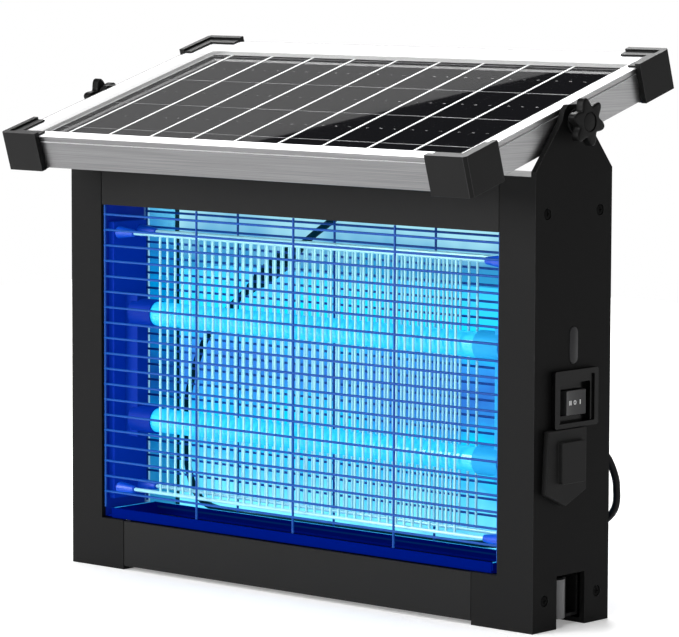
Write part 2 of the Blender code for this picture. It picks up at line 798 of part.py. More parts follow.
def build():
    end_cap("end_cap_left", -1, [])
    end_cap("end_cap_right", 1, side_openings())
    for side, label in ((-1, "left"), (1, "right")):
        column_liner(f"column_liner_{label}", side)
        cap_screws(side, label)
        side_insulator(f"insulator_{label}", side)
        lamp_holder(f"lamp_holder_{label}", side)
    housing_profiles()
    insect_chute()
    catch_tray()
    wire_grille("front_grille", -0.0354)
    wire_grille("rear_grille", 0.0044)
    hv_grid("front_hv_grid", CHAMBER_MIDDLE - GRID_SETBACK)
    hv_grid("rear_hv_grid", CHAMBER_MIDDLE + GRID_SETBACK)
    for label, height in LAMP_HEIGHTS.items():
        uv_tube(f"uv_tube_{label}", height)
    electronics()
    power_switch()
    status_lens()
    charge_port()

    pivot = joint_empty("panel_pivot", (0, 0, PIVOT_HEIGHT), PANEL_TILT)
    frame_rail("frame_rail_front", True, -1, pivot)
    frame_rail("frame_rail_rear", True, 1, pivot)
    frame_rail("frame_rail_left", False, -1, pivot, bolt_hole=True)
    frame_rail("frame_rail_right", False, 1, pivot, bolt_hole=True)
    panel_layers(pivot)
    for across, left_right in ((-1, "left"), (1, "right")):
        for back, front_rear in ((-1, "front"), (1, "rear")):
            corner_cap(f"corner_cap_{front_rear}_{left_right}", across, back, pivot)
    junction_box(pivot)
    for side, label in ((-1, "left"), (1, "right")):
        pivot_bolt(f"pivot_bolt_{label}", side, pivot)
        friction_washer(f"friction_washer_{label}", side, pivot)
        star_knob(f"star_knob_{label}", side, pivot)

    body_gland()
    lead_coupling()
    along = (COUPLING_END - COUPLING_START).normalized()
    cable(
        "solar_cable",
        [
            (0.0573, 0.0386, 0.3162),
            (0.0555, 0.0386, 0.3162),
            (0.0530, 0.0385, 0.3158),
            (0.0400, 0.0350, 0.3070),
            (0.0210, 0.0300, 0.2760),
            (-0.0070, 0.0245, 0.2480),
            COUPLING_START - 0.0140 * along,
            COUPLING_START,
            COUPLING_END,
            COUPLING_END + 0.0140 * along,
            (-0.1300, 0.0215, 0.1550),
            (-0.1470, 0.0210, 0.1150),
            (-0.1490, 0.0205, 0.0750),
            (-0.1380, 0.0210, 0.0450),
            (-0.1100, 0.0220, 0.0365),
            (-0.0600, 0.0230, 0.0360),
            (0.0000, 0.0240, 0.0360),
            (0.0900, 0.0320, 0.0360),
            (0.1500, 0.0515, 0.0420),
            (0.1830, 0.0605, 0.0600),
            (0.1880, 0.0612, 0.0800),
            (GLAND_AT[0] + 0.0010, HALF_DEPTH + 0.0190, GLAND_AT[1] - 0.0030),
            (GLAND_AT[0], HALF_DEPTH + 0.0130, GLAND_AT[1]),
            (GLAND_AT[0], HALF_DEPTH + 0.0091, GLAND_AT[1]),
        ],
    )


build()
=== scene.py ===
"""Solar insect killer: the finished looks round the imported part, with its camera, lights and floor.

Metres, +X to the right, +Y to the back, +Z up, the origin on the ground under the middle.
"""

import json
import math

import bpy
from mathutils import Matrix, Vector

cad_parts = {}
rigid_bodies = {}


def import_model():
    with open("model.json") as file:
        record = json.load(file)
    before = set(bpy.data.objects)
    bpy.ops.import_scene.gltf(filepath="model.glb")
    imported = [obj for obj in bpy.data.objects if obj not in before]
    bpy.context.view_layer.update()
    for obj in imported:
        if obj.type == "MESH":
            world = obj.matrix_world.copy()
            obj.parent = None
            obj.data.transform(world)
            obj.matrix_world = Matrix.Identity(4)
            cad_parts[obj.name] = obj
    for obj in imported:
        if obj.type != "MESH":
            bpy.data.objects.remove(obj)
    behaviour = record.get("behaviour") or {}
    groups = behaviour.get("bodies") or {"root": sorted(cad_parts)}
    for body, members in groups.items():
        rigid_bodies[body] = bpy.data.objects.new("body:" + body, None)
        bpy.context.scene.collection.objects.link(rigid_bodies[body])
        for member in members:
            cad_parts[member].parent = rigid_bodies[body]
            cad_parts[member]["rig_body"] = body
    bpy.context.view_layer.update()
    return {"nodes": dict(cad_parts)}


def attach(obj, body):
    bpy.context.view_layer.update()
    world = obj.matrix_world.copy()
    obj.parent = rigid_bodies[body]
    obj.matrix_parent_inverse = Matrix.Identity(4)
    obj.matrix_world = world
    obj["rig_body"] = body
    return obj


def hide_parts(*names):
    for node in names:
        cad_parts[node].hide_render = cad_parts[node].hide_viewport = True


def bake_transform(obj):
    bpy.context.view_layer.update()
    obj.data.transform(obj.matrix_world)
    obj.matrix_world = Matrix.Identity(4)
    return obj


for leftover in list(bpy.data.objects):
    bpy.data.objects.remove(leftover, do_unlink=True)

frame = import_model()
NODES = frame["nodes"]

# Places shared with the part
PIVOT = Vector((0, 0, 0.3125))
TILT = math.radians(16.7)
CHAMBER_MIDDLE = -0.0155
FRONT_GRILLE_Y = -0.0354
REAR_GRILLE_Y = 0.0044
SCREW_SPOTS = [(-0.026, 0.257), (0.026, 0.257), (-0.026, 0.019), (0.026, 0.019)]
LAMP_HEIGHTS = {"upper": 0.172, "lower": 0.100}
GRILLE_WIRES, GRILLE_FIRST, GRILLE_PITCH = 19, 0.0512, 0.0104
GRILLE_UPRIGHTS = (-0.1704, -0.0858, 0, 0.0858, 0.1704)
ROD_COUNT, ROD_SPAN = 38, 0.256
BAR_HEIGHTS = (0.053, 0.226)
LENS_MIDDLE = (0.0005, 0.1750)
MARK_HEIGHT = 0.1398
CABLE_RADIUS = 0.0024
COUPLING_START = Vector((-0.0445, 0.0220, 0.2215))
COUPLING_END = Vector((-0.0906, 0.0220, 0.1897))
ALONG_COUPLING = (COUPLING_END - COUPLING_START).normalized()
CABLE_KNOTS = [
    (0.0573, 0.0386, 0.3162),
    (0.0555, 0.0386, 0.3162),
    (0.0530, 0.0385, 0.3158),
    (0.0400, 0.0350, 0.3070),
    (0.0210, 0.0300, 0.2760),
    (-0.0070, 0.0245, 0.2480),
    COUPLING_START - 0.0140 * ALONG_COUPLING,
    COUPLING_START,
    COUPLING_END,
    COUPLING_END + 0.0140 * ALONG_COUPLING,
    (-0.1300, 0.0215, 0.1550),
    (-0.1470, 0.0210, 0.1150),
    (-0.1490, 0.0205, 0.0750),
    (-0.1380, 0.0210, 0.0450),
    (-0.1100, 0.0220, 0.0365),
    (-0.0600, 0.0230, 0.0360),
    (0.0000, 0.0240, 0.0360),
    (0.0900, 0.0320, 0.0360),
    (0.1500, 0.0515, 0.0420),
    (0.1830, 0.0605, 0.0600),
    (0.1880, 0.0612, 0.0800),
    (0.1850, 0.05675, 0.0970),
    (0.1840, 0.05075, 0.1000),
    (0.1840, 0.04685, 0.1000),
]


# Camera


def place_camera():
    """A long lens from the right front, a little above the box."""
    lens = bpy.data.cameras.new("camera")
    lens.sensor_width = 36
    lens.lens = 200.8
    lens.clip_end = 50
    camera = bpy.data.objects.new("camera", lens)
    camera.location = (1.6256, -1.8259, 0.4275)
    camera.rotation_euler = (math.radians(90 - 5.84), math.radians(-0.18), math.radians(41.55))
    bpy.context.scene.collection.objects.link(camera)
    bpy.context.scene.camera = camera


# Finishes


def finish(name, colour, roughness, metallic=0.0, **more):
    """A finish of one colour. More of the shader's sockets are given with _ for each space."""
    material = bpy.data.materials.new(name)
    material.use_nodes = True
    shader = material.node_tree.nodes["Principled BSDF"]
    shader.inputs["Base Color"].default_value = (*colour, 1)
    shader.inputs["Roughness"].default_value = roughness
    shader.inputs["Metallic"].default_value = metallic
    for socket, value in more.items():
        shader.inputs[socket.replace("_", " ")].default_value = value
    return material


def grain(material, scale, strength):
    """Fine relief in the surface, from noise on the piece's own place."""
    nodes, links = material.node_tree.nodes, material.node_tree.links
    place = nodes.new("ShaderNodeTexCoord")
    noise = nodes.new("ShaderNodeTexNoise")
    noise.inputs["Scale"].default_value = scale
    noise.inputs["Detail"].default_value = 3
    relief = nodes.new("ShaderNodeBump")
    relief.inputs["Strength"].default_value = strength
    relief.inputs["Distance"].default_value = 0.0002
    links.new(place.outputs["Object"], noise.inputs["Vector"])
    links.new(noise.outputs["Fac"], relief.inputs["Height"])
    links.new(relief.outputs["Normal"], nodes["Principled BSDF"].inputs["Normal"])
    return material


def brushed(material, dark, light, stretch):
    """Streaks of two tones along one direction."""
    nodes, links = material.node_tree.nodes, material.node_tree.links
    place = nodes.new("ShaderNodeTexCoord")
    turn = nodes.new("ShaderNodeMapping")
    turn.inputs["Scale"].default_value = stretch
    noise = nodes.new("ShaderNodeTexNoise")
    noise.inputs["Scale"].default_value = 110
    noise.inputs["Detail"].default_value = 4
    tones = nodes.new("ShaderNodeValToRGB")
    tones.color_ramp.elements[0].position = 0.3
    tones.color_ramp.elements[0].color = (*dark, 1)
    tones.color_ramp.elements[1].position = 0.7
    tones.color_ramp.elements[1].color = (*light, 1)
    links.new(place.outputs["Object"], turn.inputs["Vector"])
    links.new(turn.outputs["Vector"], noise.inputs["Vector"])
    links.new(noise.outputs["Fac"], tones.inputs["Fac"])
    links.new(tones.outputs["Color"], nodes["Principled BSDF"].inputs["Base Color"])
    return material


def lit_side(material, dark, light, start, end):
    """Painted lamp light across depth: the dark tone in front of one depth, the light one behind
    another, and a blend between them, as both colour and glow.
    """
    nodes, links = material.node_tree.nodes, material.node_tree.links
    place = nodes.new("ShaderNodeTexCoord")
    apart = nodes.new("ShaderNodeSeparateXYZ")
    reach = nodes.new("ShaderNodeMapRange")
    reach.inputs["From Min"].default_value = start
    reach.inputs["From Max"].default_value = end
    tones = nodes.new("ShaderNodeValToRGB")
    tones.color_ramp.elements[0].color = (*dark, 1)
    tones.color_ramp.elements[1].color = (*light, 1)
    shader = nodes["Principled BSDF"]
    links.new(place.outputs["Object"], apart.inputs["Vector"])
    links.new(apart.outputs["Y"], reach.inputs["Value"])
    links.new(reach.outputs["Result"], tones.inputs["Fac"])
    links.new(tones.outputs["Color"], shader.inputs["Base Color"])
    links.new(tones.outputs["Color"], shader.inputs["Emission Color"])
    return material


# Black mouldings
SHELL = finish("shell_black", (0.006, 0.006, 0.006), 0.50, Specular_IOR_Level=0.07)
# A darker copy of the shell for the caps' outer side faces: painted shade.
SHELL_SIDE_SHADED = finish("shell_side_shaded", (0.0035, 0.0035, 0.0035), 0.50, Specular_IOR_Level=0.045)
# A lighter copy of the shell for the beam and the base: painted light.
SHELL_FRONT_LIT = finish("shell_front_lit", (0.009, 0.009, 0.009), 0.50, Specular_IOR_Level=0.09)
# A much lighter, shinier copy of the shell for the caps' rounded edges: a painted highlight.
SHELL_EDGE_HIGHLIGHT = finish("shell_edge_highlight", (0.080, 0.080, 0.080), 0.35, Specular_IOR_Level=0.5)
# A lighter, shinier copy of the shell for the faces on top: painted light.
SHELL_TOP_LIT = finish("shell_top_lit", (0.020, 0.020, 0.020), 0.30, Specular_IOR_Level=0.45)
# Pure black with no shine for the left cap's inner edge faces: painted shade along the seam.
SEAM_SHADE = finish("seam_shade", (0.0, 0.0, 0.0), 0.80, Specular_IOR_Level=0.0)
CAP_BLACK = finish("cap_black", (0.006, 0.006, 0.006), 0.42, Specular_IOR_Level=0.09)
# A lighter, shinier copy of the cap black for the corner caps' rounded edges: a painted highlight.
CAP_EDGE_HIGHLIGHT = finish("cap_edge_highlight", (0.020, 0.020, 0.020), 0.35, Specular_IOR_Level=0.35)
KNOB_BLACK = finish("knob_black", (0.004, 0.004, 0.004), 0.40, Specular_IOR_Level=0.08)
GLOSS = finish("gloss_black", (0.002, 0.002, 0.002), 0.25, Specular_IOR_Level=0.10)
RUBBER = finish("rubber_black", (0.009, 0.009, 0.009), 0.60, Specular_IOR_Level=0.10)
LEAD_BLACK = finish("lead_black", (0.004, 0.004, 0.005), 0.50, Specular_IOR_Level=0.12)
GRIP_GREY = finish("grip_grey", (0.110, 0.110, 0.112), 0.45, Specular_IOR_Level=0.25)
LENS_GREY = finish("lens_grey", (0.015, 0.015, 0.016), 0.30, Specular_IOR_Level=0.12)
ROCKER_GREY = finish("rocker_grey", (0.025, 0.025, 0.026), 0.35, Specular_IOR_Level=0.18)
MARK_WHITE = finish("mark_white", (0.55, 0.55, 0.55), 0.50)
DARK_STEEL = finish("dark_steel", (0.0015, 0.0015, 0.0015), 0.50, Specular_IOR_Level=0.03)

# What the lamps light: the lamps' blue light is painted into these parts' colours and glow; the lamp
# glass is the lamp itself
# Guard wires tinted and glowing blue: painted lamp light.
WIRE_GLOW = finish(
    "wire_glow", (0.003, 0.055, 0.27), 0.45, Specular_IOR_Level=0.2,
    Emission_Color=(0.0, 0.12, 0.9, 1), Emission_Strength=0.05,
)
# Steel rods tinted and glowing cyan: painted lamp light.
ROD_STEEL = finish(
    "rod_steel", (0.32, 0.66, 0.76), 0.30, 0.2,
    Emission_Color=(0.22, 0.80, 0.95, 1), Emission_Strength=0.12,
)
LAMP_GLASS = finish(
    "lamp_glass", (0.04, 0.38, 0.58), 0.15,
    Emission_Color=(0.0, 0.48, 0.9, 1), Emission_Strength=0.7,
)
# Lamp holder tinted and glowing blue: painted lamp light.
HOLDER_LIT = finish(
    "holder_lit", (0.02, 0.30, 0.60), 0.45, Specular_IOR_Level=0.1,
    Emission_Color=(0.0, 0.40, 0.9, 1), Emission_Strength=0.25,
)
# A darker copy of the holder with a fainter glow: painted shade.
HOLDER_SHADED = finish(
    "holder_shaded", (0.0, 0.02, 0.25), 0.45, Specular_IOR_Level=0.1,
    Emission_Color=(0.0, 0.08, 0.9, 1), Emission_Strength=0.10,
)
# Insulator cones tinted and glowing blue: painted lamp light.
INSULATOR = finish(
    "insulator_glow", (0.0, 0.06, 0.50), 0.40,
    Emission_Color=(0.0, 0.08, 0.8, 1), Emission_Strength=0.15,
)
# Insulator strip walls tinted and glowing blue: painted lamp light.
WALL_GLOW = finish(
    "wall_glow", (0.001, 0.014, 0.20), 0.50, Specular_IOR_Level=0.05,
    Emission_Color=(0.0, 0.07, 0.9, 1), Emission_Strength=0.18,
)
# The chute tinted deep blue with a faint glow: painted lamp light.
CHUTE_GLOW = finish(
    "chute_glow", (0.0, 0.005, 0.10), 0.60, Specular_IOR_Level=0.0,
    Emission_Color=(0.0, 0.02, 0.8, 1), Emission_Strength=0.06,
)
# A pale, glowing copy for the chute's upward faces behind its front lip: a painted pool of lamp light.
CHUTE_LIT = finish(
    "chute_lit", (0.05, 0.45, 0.80), 0.50, Specular_IOR_Level=0.1,
    Emission_Color=(0.02, 0.45, 0.9, 1), Emission_Strength=0.30,
)
# The deep blue of the lamps' light on the liners, used as colour and glow: painted lamp light.
LINER_LAMPLIGHT = (0.001, 0.014, 0.22)
# Left liner: painted lamp light, paler and glowing further back.
CHAMBER = lit_side(
    finish("chamber_lamplit", LINER_LAMPLIGHT, 0.45, Specular_IOR_Level=0.1, Emission_Strength=0.30),
    LINER_LAMPLIGHT, (0.34, 0.76, 0.95), 0.003, 0.009,
)
# Right liner: painted shade, darker further back, with the same glow in front.
CHAMBER_SHADED = lit_side(
    finish("chamber_shaded", LINER_LAMPLIGHT, 0.45, Specular_IOR_Level=0.1, Emission_Strength=0.30),
    LINER_LAMPLIGHT, (0.004, 0.006, 0.010), 0.004, 0.012,
)

# Panel
LONG_BRUSHED = brushed(
    finish("aluminium_long", (0.2, 0.2, 0.2), 0.36, 1.0),
    (0.12, 0.12, 0.122), (0.21, 0.21, 0.213), (0.10, 36, 36),
)
SIDE_BRUSHED = brushed(
    finish("aluminium_side", (0.4, 0.4, 0.4), 0.36, 1.0),
    (0.26, 0.26, 0.263), (0.40, 0.40, 0.404), (36, 0.10, 36),
)
# A near-white copy of the aluminium for the rails' top faces: painted light.
RAIL_TOP_LIT = finish("aluminium_top_lit", (0.85, 0.85, 0.86), 0.40, 0.2)
# A dark line along the frame's top: painted shade.
RAIL_SHADE_LINE = finish("aluminium_shade_line", (0.20, 0.20, 0.20), 0.45, 0.3)
# Inner faces of the rails, made white and glowing: painted light.
RAIL_INSIDE_GLOW = finish(
    "aluminium_inside_glow", (0.88, 0.88, 0.88), 0.45,
    Emission_Color=(1, 1, 1, 1), Emission_Strength=0.7,
)
CELL = finish(
    "cell_silicon", (0.003, 0.003, 0.004), 0.50, Specular_IOR_Level=0.0,
    Coat_Weight=1.0, Coat_Roughness=0.012,
)
RIBBON = finish("ribbon_tin", (0.13, 0.13, 0.135), 0.40, 0.3)
PAD = finish("pad_tin", (0.035, 0.035, 0.036), 0.40, 0.3)
BACK_WHITE = finish("back_white", (0.85, 0.85, 0.85), 0.45)
PANEL_GLASS = finish("panel_glass", (0.010, 0.011, 0.012), 0.03, Alpha=0.04)

# Electronics
BOARD = finish("board_green", (0.02, 0.18, 0.07), 0.45)
WRAP = finish("cell_wrap", (0.05, 0.18, 0.50), 0.35)

for body_skin in (SHELL, SHELL_SIDE_SHADED, SHELL_FRONT_LIT):
    grain(body_skin, 1500, 0.08)
for moulding in (
    SHELL_EDGE_HIGHLIGHT, SHELL_TOP_LIT, CAP_BLACK, CAP_EDGE_HIGHLIGHT,
    KNOB_BLACK, LENS_GREY, ROCKER_GREY, GRIP_GREY,
):
    grain(moulding, 1500, 0.06)
for soft_skin in (RUBBER, LEAD_BLACK):
    grain(soft_skin, 900, 0.10)
for coated in (
    WIRE_GLOW, ROD_STEEL, DARK_STEEL, INSULATOR,
    HOLDER_SHADED, HOLDER_LIT, CHUTE_GLOW, WALL_GLOW,
):
    grain(coated, 1100, 0.05)
for sheet in (BACK_WHITE, BOARD, WRAP, GLOSS, RAIL_TOP_LIT, RAIL_INSIDE_GLOW):
    grain(sheet, 800, 0.04)


# Modelling helpers


def only(*objects):
    """Selects these objects and nothing else."""
    if bpy.context.mode != "OBJECT":
        bpy.ops.object.mode_set(mode="OBJECT")
    bpy.ops.object.select_all(action="DESELECT")
    for thing in objects:
        thing.select_set(True)
    bpy.context.view_layer.objects.active = objects[0]


def smooth(made, angle=35):
    """Smooth shading, but for the edges sharper than the angle."""
    only(made)
    bpy.ops.object.shade_smooth_by_angle(angle=math.radians(angle))


def apply_all(made):
    """Makes the piece's modifiers part of its mesh."""
    only(made)
    for step in list(made.modifiers):
        bpy.ops.object.modifier_apply(modifier=step.name)


def bevelled(made, width, segments=2, angle=35, edge_slot=-1):
    """Rounds the edges sharper than the angle. The new faces can have a finish slot of their own."""
    step = made.modifiers.new("bevel", "BEVEL")
    step.material = edge_slot
    step.width = width
    step.segments = segments
    step.limit_method = "ANGLE"
    step.angle_limit = math.radians(angle)
    apply_all(made)
    smooth(made, angle)
    return made


def joined(name, pieces):
    """One piece made of several."""
    only(*pieces)
    if len(pieces) > 1:
        bpy.ops.object.join()
    made = bpy.context.active_object
    made.name = name
    made.data.name = name
    return made


def shifted_copy(source, name, offset):
    """A copy with its own mesh, moved in that mesh."""
    made = source.copy()
    made.data = source.data.copy()
    made.name = name
    made.data.name = name
    bpy.context.scene.collection.objects.link(made)
    made.data.transform(Matrix.Translation(offset))
    return made


def turned_into_panel(made):
    """Tilts a piece that was modelled flat about the origin into the panel's place."""
    made.data.transform(Matrix.Translation(PIVOT) @ Matrix.Rotation(TILT, 4, "X"))
    return made


def mirrored(made):
    """Turns a piece made for the right side into one for the left."""
    made.data.transform(Matrix.Diagonal((-1, 1, 1, 1)))
    made.data.flip_normals()


def body_of(node):
    """The body that the node moves with."""
    return NODES[node]["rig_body"]


def stands_for(made, node):
    """Lets a piece take a node's place, on its body."""
    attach(made, body_of(node))
    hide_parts(node)


def softened(node, material, width, segments=2, edge=None):
    """The node's own shape with its edges rounded, as a moulded or extruded piece has."""
    mesh = NODES[node].data.copy()
    made = bpy.data.objects.new(f"{node}_finished", mesh)
    bpy.context.scene.collection.objects.link(made)
    mesh.materials.clear()
    mesh.materials.append(material)
    # An edge finish, when given, goes on the new rounded-edge faces as a painted highlight.
    if edge:
        mesh.materials.append(edge)
    only(made)
    bpy.ops.object.mode_set(mode="EDIT")
    bpy.ops.mesh.select_all(action="SELECT")
    bpy.ops.mesh.remove_doubles(threshold=0.000005)
    bpy.ops.mesh.dissolve_limited(angle_limit=math.radians(1.0))
    bpy.ops.object.mode_set(mode="OBJECT")
    bevelled(made, width, segments, edge_slot=1 if edge else -1)
    evened = made.modifiers.new("evened", "WEIGHTED_NORMAL")
    evened.keep_sharp = True
    apply_all(made)
    stands_for(made, node)
    return made


def second_finish(made, material, chosen):
    """Gives the faces that the test picks a finish of their own."""
    made.data.materials.append(material)
    slot = len(made.data.materials) - 1
    for face in made.data.polygons:
        if chosen(face):
            face.material_index = slot


def parted(made, height):
    """Divides the faces at a height, so that each side of it can have its own finish."""
    only(made)
    bpy.ops.object.mode_set(mode="EDIT")
    bpy.ops.mesh.select_all(action="SELECT")
    bpy.ops.mesh.bisect(plane_co=(0, 0, height), plane_no=(0, 0, 1))
    bpy.ops.object.mode_set(mode="OBJECT")


def rod(axis, across, radius, low, high, sides=12):
    """A round rod along an axis. across is its place on the other two axes, in X, Y, Z order."""
    place = list(across)
    place.insert("xyz".index(axis), (low + high) / 2)
    turn = {"x": (0, math.pi / 2, 0), "y": (math.pi / 2, 0, 0), "z": (0, 0, 0)}[axis]
    bpy.ops.mesh.primitive_cylinder_add(
        vertices=sides, radius=radius, depth=high - low, location=place, rotation=turn
    )
    return placed()


def slab(low, high):
    """A block between two corners."""
    low, high = Vector(low), Vector(high)
    bpy.ops.mesh.primitive_cube_add(size=1, location=(low + high) / 2, scale=high - low)
    return placed()


def placed():
    """Puts the place, turn and size of the object just made in its mesh."""
    made = bpy.context.active_object
    only(made)
    bpy.ops.object.transform_apply(location=True, rotation=True, scale=True)
    return made


def finished(made, name, material, body=None, node=None):
    """Names a piece, gives it its finish, and lets it ride on a body or stand for a node."""
    made.name = name
    made.data.name = name
    made.data.materials.clear()
    made.data.materials.append(material)
    if node:
        stands_for(made, node)
    else:
        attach(made, body)
    return made


def cut_away(made, cutter):
    """Cuts the shape of the cutter out of a piece."""
    step = made.modifiers.new("cut", "BOOLEAN")
    step.operation = "DIFFERENCE"
    step.solver = "EXACT"
    step.object = cutter
    apply_all(made)
    bpy.data.objects.remove(cutter, do_unlink=True)
    return made


# Housing


def housing():
    """The columns, beam, base, chute and tray, with the faces that catch the light picked out in painted
    light and shade.
    """
    inner_face, outer_face, strip_front = 0.1722, 0.19, 0.1662
    window_low, window_high, beam_top = 0.0340, 0.2475, 0.27

    def upward(face):
        return face.normal.z > 0.9 and face.center.z > beam_top

    def seam(face):
        return face.material_index == 1 and abs(face.center.x) < outer_face

    def outward(face):
        return abs(face.normal.x) > 0.9 and abs(face.center.x) > outer_face

    def unlit(face):
        return abs(face.center.x) > inner_face or not window_low < face.center.z < window_high

    def on_cones(face):
        return abs(face.center.x) < strip_front

    for side in ("left", "right"):
        # The caps' rounded edges take a painted highlight.
        cap = softened(f"end_cap_{side}", SHELL, 0.0006, 3, SHELL_EDGE_HIGHLIGHT)
        # The left cap's inner edge faces are painted black as shade; the right cap's keep the plain
        # shell.
        second_finish(cap, SEAM_SHADE if side == "left" else SHELL, seam)
        # Faces on top take the lighter copy of the shell: painted light.
        second_finish(cap, SHELL_TOP_LIT, upward)
        # Outer side faces take the darker copy of the shell: painted shade.
        second_finish(cap, SHELL_SIDE_SHADED, outward)
        # The left liner takes painted lamp light, the right painted shade; faces outside the window keep
        # the plain shell.
        wall = CHAMBER if side == "left" else CHAMBER_SHADED
        liner = softened(f"column_liner_{side}", wall, 0.0003)
        parted(liner, window_low)
        parted(liner, window_high)
        second_finish(liner, SHELL, unlit)
        # The left holder takes the shaded copy, the right the lit one: painted shade and light.
        holder = HOLDER_SHADED if side == "left" else HOLDER_LIT
        softened(f"lamp_holder_{side}", holder, 0.0003)
        # Strip walls and cones take the painted lamp light.
        strip = softened(f"insulator_{side}", WALL_GLOW, 0.0003)
        second_finish(strip, INSULATOR, on_cones)
    # Beam and base take the lighter copy of the shell: painted light.
    beam = softened("top_profile", SHELL_FRONT_LIT, 0.0005)
    # The beam's top takes the same painted light.
    second_finish(beam, SHELL_TOP_LIT, upward)
    softened("top_deck", SHELL, 0.0003)
    softened("bottom_profile", SHELL_FRONT_LIT, 0.0004)
    chute = softened("insect_chute", CHUTE_GLOW, 0.0002)
    # Upward faces behind the front lip take the painted pool of lamp light.
    second_finish(chute, CHUTE_LIT, lambda face: face.normal.z > 0.2 and face.center.y > -0.0335)
    seal = slab((-0.1712, -0.0335, 0.0338), (-0.1664, 0.0130, 0.0352))
    bevelled(seal, 0.0004)
    finished(seal, "chute_seal", CHUTE_GLOW, body="housing")
    tray = softened("catch_tray", SHELL, 0.0003)
    second_finish(tray, GRIP_GREY, lambda face: face.center.x > 0.1952)


def cap_screws():
    """One screw with a cross recess, copied to each of its eight places."""
    shank = rod("x", (0, 0), 0.0017, 0.1840, 0.1984, 16)
    head = rod("x", (0, 0), 0.0032, 0.1983, 0.1997, 32)
    bevelled(head, 0.0005, 3)
    for half_y, half_z in ((0.0018, 0.0004), (0.0004, 0.0018)):
        cut_away(head, slab((0.1990, -half_y, -half_z), (0.2010, half_y, half_z)))
    screw = joined("cap_screw", [head, shank])
    smooth(screw)
    for label, side in (("left", -1), ("right", 1)):
        for index, (y, z) in enumerate(SCREW_SPOTS, start=1):
            node = f"cap_screw_{label}_{index}"
            copy = shifted_copy(screw, f"{node}_finished", (0, y, z))
            if side < 0:
                mirrored(copy)
            finished(copy, copy.name, DARK_STEEL, node=node)
    bpy.data.objects.remove(screw, do_unlink=True)


# Grilles, grids and lamps


def wire_grille(node, middle):
    """Level wires welded to five uprights."""
    wires = []
    level = rod("x", (middle, GRILLE_FIRST), 0.0008, -0.1712, 0.1712)
    bevelled(level, 0.0003, 2)
    for k in range(GRILLE_WIRES):
        wires.append(shifted_copy(level, f"level_{k}", (0, 0, GRILLE_PITCH * k)))
    upright = rod("z", (0, middle), 0.0008, 0.0406, 0.2447)
    bevelled(upright, 0.0003, 2)
    for x in GRILLE_UPRIGHTS:
        wires.append(shifted_copy(upright, "upright", (x, 0, 0)))
    for original in (level, upright):
        bpy.data.objects.remove(original, do_unlink=True)
    finished(joined(f"{node}_finished", wires), f"{node}_finished", WIRE_GLOW, node=node)


def hv_grid(node, middle):
    """Upright rods welded between a low and a high bar."""
    bars = []
    for height in BAR_HEIGHTS:
        level = rod("x", (middle, height), 0.0013, -0.152, 0.152, 16)
        bars.append(bevelled(level, 0.0004, 2))
    upright = rod("z", (0, middle), 0.0009, 0.0520, 0.2270, 10)
    smooth(upright, 60)
    for k in range(ROD_COUNT):
        x = -ROD_SPAN / 2 + k * ROD_SPAN / (ROD_COUNT - 1)
        bars.append(shifted_copy(upright, f"rod_{k}", (x, 0, 0)))
    bpy.data.objects.remove(upright, do_unlink=True)
    finished(joined(f"{node}_finished", bars), f"{node}_finished", ROD_STEEL, node=node)


def lamp(label, height):
    """A glass tube with rounded ends."""
    tube = rod("x", (CHAMBER_MIDDLE, height), 0.008, -0.1438, 0.1438, 40)
    bevelled(tube, 0.003, 5)
    finished(tube, f"uv_tube_{label}_finished", LAMP_GLASS, node=f"uv_tube_{label}")


# Controls


def controls():
    """Bezel, rocker, socket, rubber cover and gland, with their edges rounded."""
    softened("switch_bezel", GLOSS, 0.0004, 3)
    softened("switch_block", GLOSS, 0.0003)
    softened("switch_rocker", ROCKER_GREY, 0.0005, 3)
    softened("charge_socket", GLOSS, 0.0002)
    softened("port_cover", RUBBER, 0.0006, 3)
    softened("body_gland", RUBBER, 0.0003, 2)


def status_lens():
    """A round-ended lens: the four edges through its thickness are rounded to half its width."""
    y, z = LENS_MIDDLE
    lens = slab((0.1948, y - 0.0040, z - 0.0115), (0.2004, y + 0.0040, z + 0.0115))
    only(lens)
    bpy.ops.object.mode_set(mode="EDIT")
    bpy.ops.mesh.select_all(action="DESELECT")
    bpy.ops.mesh.select_mode(type="EDGE")
    bpy.ops.object.mode_set(mode="OBJECT")
    for edge in lens.data.edges:
        a, b = (lens.data.vertices[i].co for i in edge.vertices)
        edge.select = abs(a.x - b.x) > 0.004
    bpy.ops.object.mode_set(mode="EDIT")
    bpy.ops.mesh.bevel(offset=0.00398, segments=10, affect="EDGES")
    bpy.ops.object.mode_set(mode="OBJECT")
    bevelled(lens, 0.0004, 2)
    finished(lens, "status_lens_finished", LENS_GREY, node="status_lens")


def rocker_marks():
    """Two strokes, a ring and one stroke, for the rocker's three positions."""
    low, high = MARK_HEIGHT - 0.0014, MARK_HEIGHT + 0.0014
    strokes = []
    for y in (-0.0056, -0.0042, 0.0049):
        strokes.append(slab((0.2012, y - 0.00035, low), (0.20235, y + 0.00035, high)))
    bpy.ops.mesh.primitive_torus_add(
        major_radius=0.0010, minor_radius=0.00028, major_segments=24, minor_segments=8,
        location=(0.20195, 0, MARK_HEIGHT), rotation=(0, math.pi / 2, 0),
    )
    ring = placed()
    middle = Matrix.Translation((0, 0, MARK_HEIGHT))
    ring.data.transform(middle @ Matrix.Diagonal((1, 1, 1.15, 1)) @ middle.inverted())
    smooth(ring, 60)
    strokes.append(ring)
    finished(joined("rocker_marks", strokes), "rocker_marks", MARK_WHITE, body="rocker")


# Panel


